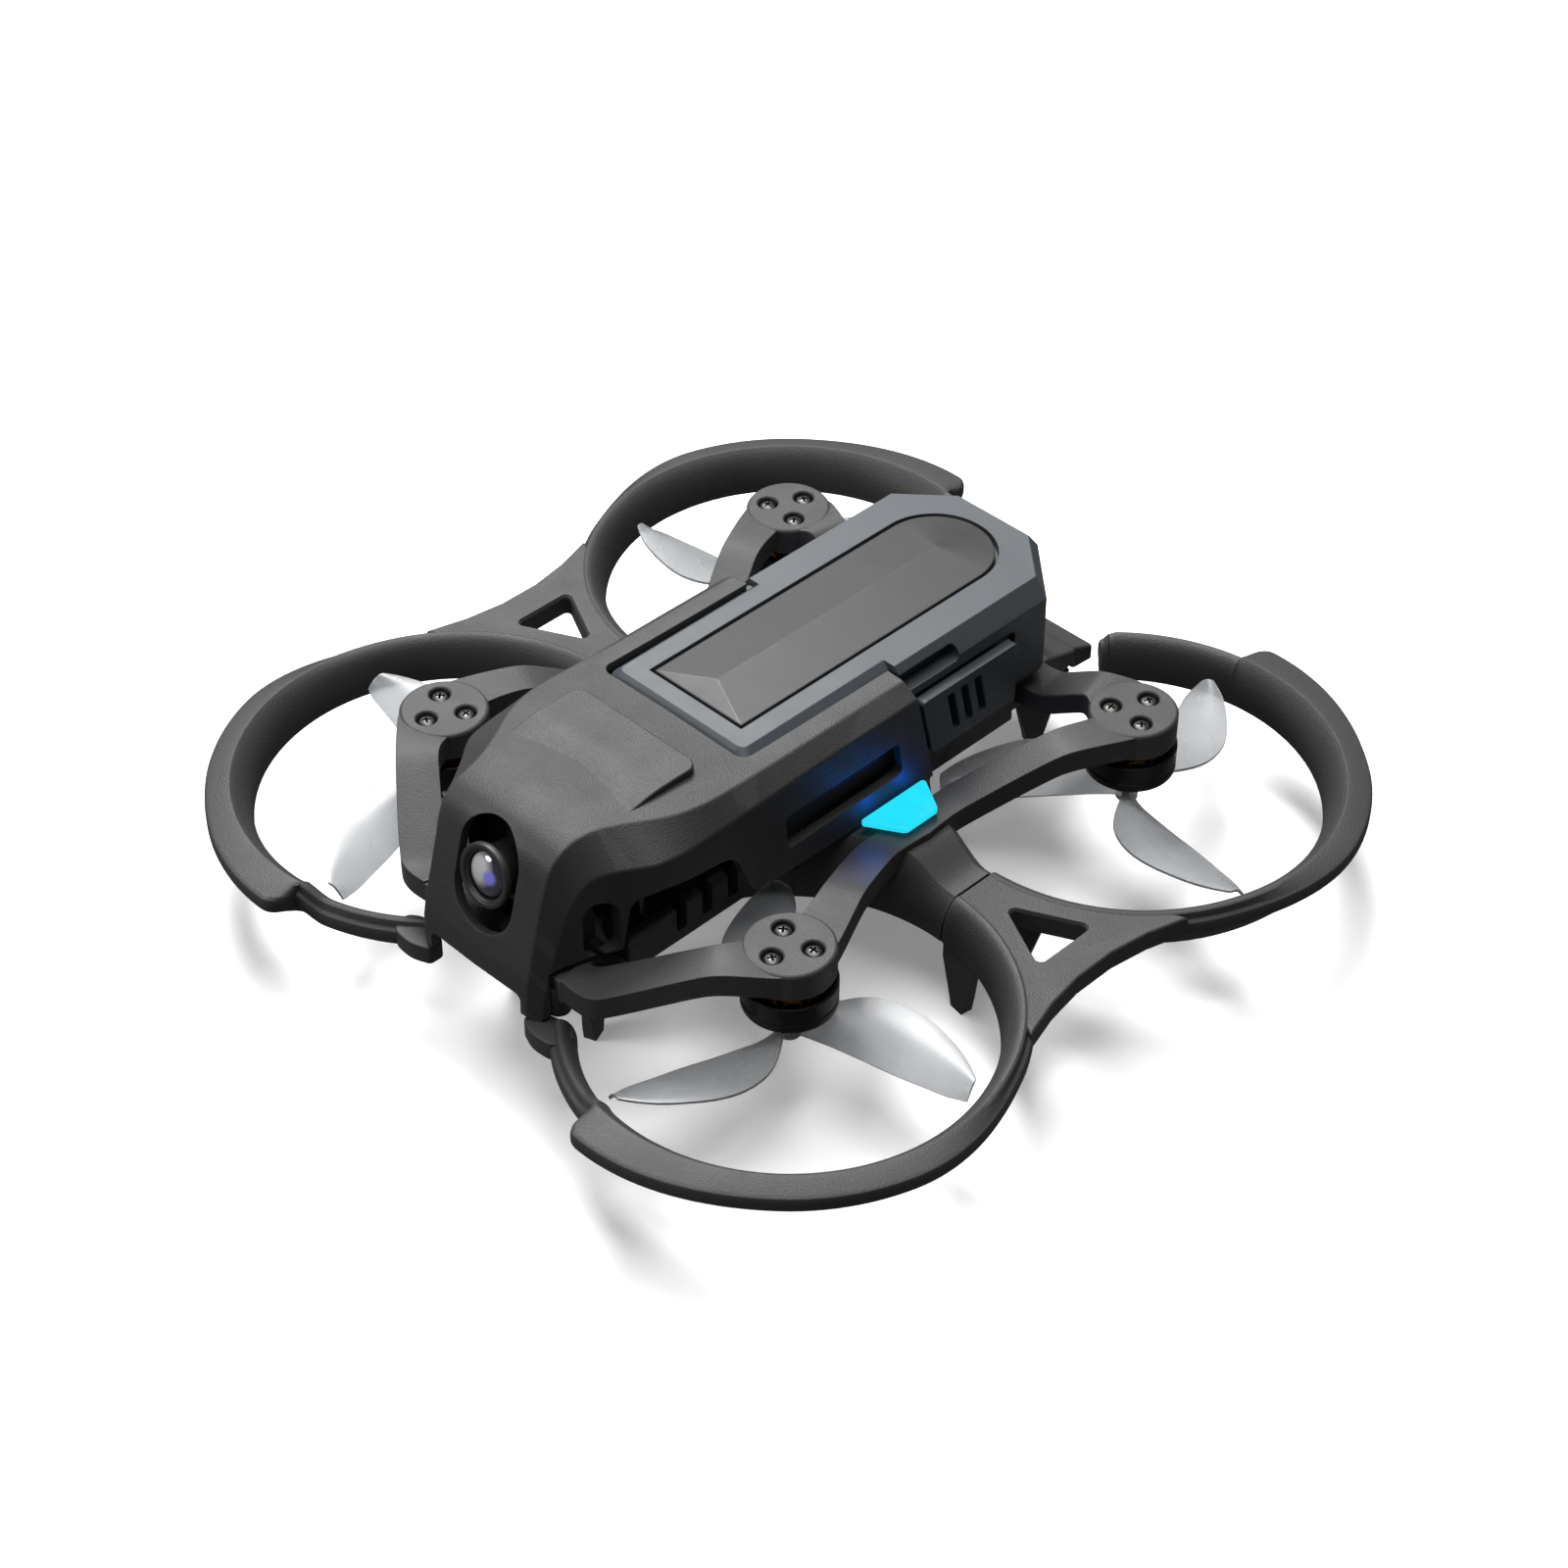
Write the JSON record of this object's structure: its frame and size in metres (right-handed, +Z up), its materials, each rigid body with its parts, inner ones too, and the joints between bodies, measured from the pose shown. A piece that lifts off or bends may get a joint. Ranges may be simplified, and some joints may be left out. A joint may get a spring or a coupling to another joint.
{
  "type": "fpv racing drone",
  "caption": "Small ducted quadcopter with ringed propeller guards, shell body with nose camera, slide-in battery and cyan side lights.",
  "frame": {"origin": "on the surface under the feet, midway between the four motors", "axes": "-Y towards the nose camera, +X to the drone's right as seen from above with the nose towards the viewer's lower edge, +Z up"},
  "size_m": [0.1394, 0.144, 0.0422],
  "materials": {
    "charcoal_plastic": "fine-textured matte charcoal",
    "dark_grey_plastic": "smooth satin dark grey",
    "slate_plastic": "smooth satin slate grey",
    "frosted_clear": "clear polycarbonate, slightly frosted",
    "satin_black": "satin black",
    "black_metal": "black anodised",
    "dark_steel": "dark steel",
    "screw_steel": "bare steel",
    "copper_winding": "lacquered copper wire",
    "circuit_board": "dark solder mask",
    "soft_rubber": "matte",
    "cell_foil": "pouch foil",
    "cyan_light": "lit light guide",
    "lens_glass": "coated glass"
  },
  "bodies": {
    "airframe": {"main_frame": "charcoal_plastic", "guard_left": "charcoal_plastic", "guard_right": "charcoal_plastic", "canopy": "charcoal_plastic", "lower_tub": "charcoal_plastic", "flight_controller": "circuit_board", "video_transmitter": "circuit_board", "usb_socket": "screw_steel", "antenna": "soft_rubber", "power_socket": "satin_black", "light_bar_left": "cyan_light", "light_bar_right": "cyan_light", "camera_screw_left": "screw_steel", "camera_screw_right": "screw_steel", "board_damper_1": "soft_rubber", "board_damper_2": "soft_rubber", "board_damper_3": "soft_rubber", "board_damper_4": "soft_rubber", "motor_stator_front_right": "dark_steel", "motor_stator_front_left": "dark_steel", "motor_stator_rear_right": "dark_steel", "motor_stator_rear_left": "dark_steel", "motor_windings_front_right": "copper_winding", "motor_windings_front_left": "copper_winding", "motor_windings_rear_right": "copper_winding", "motor_windings_rear_left": "copper_winding", "motor_screw_front_right_1": "screw_steel", "motor_screw_front_right_2": "screw_steel", "motor_screw_front_right_3": "screw_steel", "motor_screw_front_left_1": "screw_steel", "motor_screw_front_left_2": "screw_steel", "motor_screw_front_left_3": "screw_steel", "motor_screw_rear_right_1": "screw_steel", "motor_screw_rear_right_2": "screw_steel", "motor_screw_rear_right_3": "screw_steel", "motor_screw_rear_left_1": "screw_steel", "motor_screw_rear_left_2": "screw_steel", "motor_screw_rear_left_3": "screw_steel"},
    "rotor_front_right": {"motor_bell_front_right": "black_metal", "propeller_front_right": "frosted_clear"},
    "rotor_front_left": {"motor_bell_front_left": "black_metal", "propeller_front_left": "frosted_clear"},
    "rotor_rear_right": {"motor_bell_rear_right": "black_metal", "propeller_rear_right": "frosted_clear"},
    "rotor_rear_left": {"motor_bell_rear_left": "black_metal", "propeller_rear_left": "frosted_clear"},
    "battery": {"battery_case": "slate_plastic", "battery_base": "slate_plastic", "battery_top_plate": "dark_grey_plastic", "battery_cell_left": "cell_foil", "battery_cell_right": "cell_foil", "battery_plug": "satin_black"},
    "latch_left": {"battery_latch_left": "slate_plastic"},
    "latch_right": {"battery_latch_right": "slate_plastic"},
    "camera": {"camera_body": "satin_black", "lens_barrel": "satin_black", "lens_glass": "lens_glass"}
  },
  "joints": [
    {"name": "spin_front_right", "type": "hinge", "parent": "airframe", "child": "rotor_front_right", "pos_m": [0.035, -0.035, 0.02013], "axis": [0, 0, 1], "continuous": true},
    {"name": "spin_front_left", "type": "hinge", "parent": "airframe", "child": "rotor_front_left", "pos_m": [-0.035, -0.035, 0.02013], "axis": [0, 0, 1], "continuous": true},
    {"name": "spin_rear_right", "type": "hinge", "parent": "airframe", "child": "rotor_rear_right", "pos_m": [0.035, 0.035, 0.02013], "axis": [0, 0, 1], "continuous": true},
    {"name": "spin_rear_left", "type": "hinge", "parent": "airframe", "child": "rotor_rear_left", "pos_m": [-0.035, 0.035, 0.02013], "axis": [0, 0, 1], "continuous": true},
    {"name": "battery_slide", "type": "slide", "parent": "airframe", "child": "battery", "axis": [0, 1, 0], "range_m": [0, 0.042]},
    {"name": "latch_left_squeeze", "type": "hinge", "parent": "battery", "child": "latch_left", "pos_m": [-0.01722, 0.028, 0.02975], "axis": [0, 0, 1], "range_deg": [0, 3], "stiffness_Nm_per_rad": 0.05},
    {"name": "latch_right_squeeze", "type": "hinge", "parent": "battery", "child": "latch_right", "pos_m": [0.01722, 0.028, 0.02975], "axis": [0, 0, 1], "range_deg": [-3, 0], "stiffness_Nm_per_rad": 0.05},
    {"name": "camera_tilt", "type": "hinge", "parent": "airframe", "child": "camera", "pos_m": [0, -0.04988, 0.03062], "axis": [1, 0, 0], "range_deg": [-12, 12]}
  ]
}
